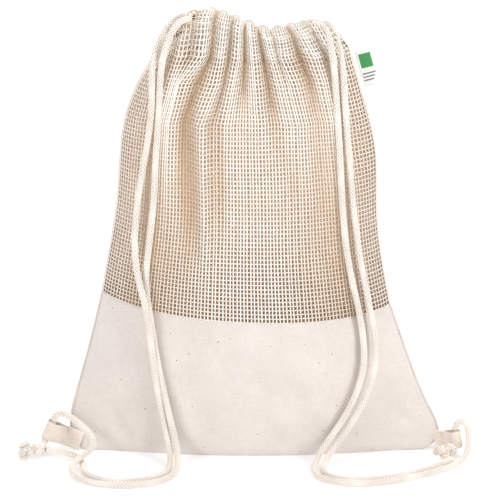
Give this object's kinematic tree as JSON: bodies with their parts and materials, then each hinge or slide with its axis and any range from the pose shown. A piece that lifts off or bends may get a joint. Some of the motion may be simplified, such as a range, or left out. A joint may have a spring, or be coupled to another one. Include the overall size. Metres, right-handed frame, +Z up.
{
  "type": "drawstring bag",
  "caption": "Cotton drawstring sack with a net upper front, canvas base and back, two braided drawcords knotted through corner loops, and a side label.",
  "frame": {"origin": "middle of the sack's base, on the surface it stands on", "axes": "+Z up along the sack's height, +Y from the net front to the canvas back, +X to the right seen from the front"},
  "size_m": [0.4653, 0.1548, 0.4632],
  "materials": {
    "canvas": "matte undyed cotton canvas with small seed flecks",
    "net": "matte open cotton net",
    "cord": "matte braided cotton",
    "webbing": "matte folded canvas strip",
    "label": "smooth white woven tape",
    "thread": "matte sewing thread"
  },
  "bodies": {
    "sack": {"front_canvas_panel": "canvas", "panel_seam_band": "canvas", "front_net_panel": "net", "back_panel": "canvas", "side_seam_left": "canvas", "side_seam_right": "canvas", "bottom_seam": "canvas", "front_channel": "net", "back_channel": "canvas", "front_channel_stitching": "thread", "back_channel_stitching": "thread", "channel_tack_left": "thread", "channel_tack_right": "thread", "drawcord_left_bight": "cord", "drawcord_right_bight": "cord", "cord_left_outer": "cord", "cord_left_inner": "cord", "cord_right_inner": "cord", "cord_right_outer": "cord"},
    "left_tab": {"tab_left": "webbing", "tab_tack_left": "thread", "cord_left_tab_end": "cord", "knot_left": "cord", "tuft_left": "cord"},
    "right_tab": {"tab_right": "webbing", "tab_tack_right": "thread", "cord_right_tab_end": "cord", "knot_right": "cord", "cord_cut_end_right": "cord"},
    "label": {"label": "label"}
  },
  "joints": [
    {"name": "left_tab_swing", "type": "hinge", "parent": "sack", "child": "left_tab", "pos_m": [-0.1795, -0.0102, 0.0116], "axis": [0, 0, 1], "range_deg": [-20, 0]},
    {"name": "right_tab_swing", "type": "hinge", "parent": "sack", "child": "right_tab", "pos_m": [0.1915, -0.0097, 0.013], "axis": [0, 0, 1], "range_deg": [0, 12]},
    {"name": "label_flap", "type": "hinge", "parent": "sack", "child": "label", "pos_m": [0.0998, 0.0113, 0.4175], "axis": [0.2726, 0, -0.9621], "range_deg": [-70, 90]}
  ]
}
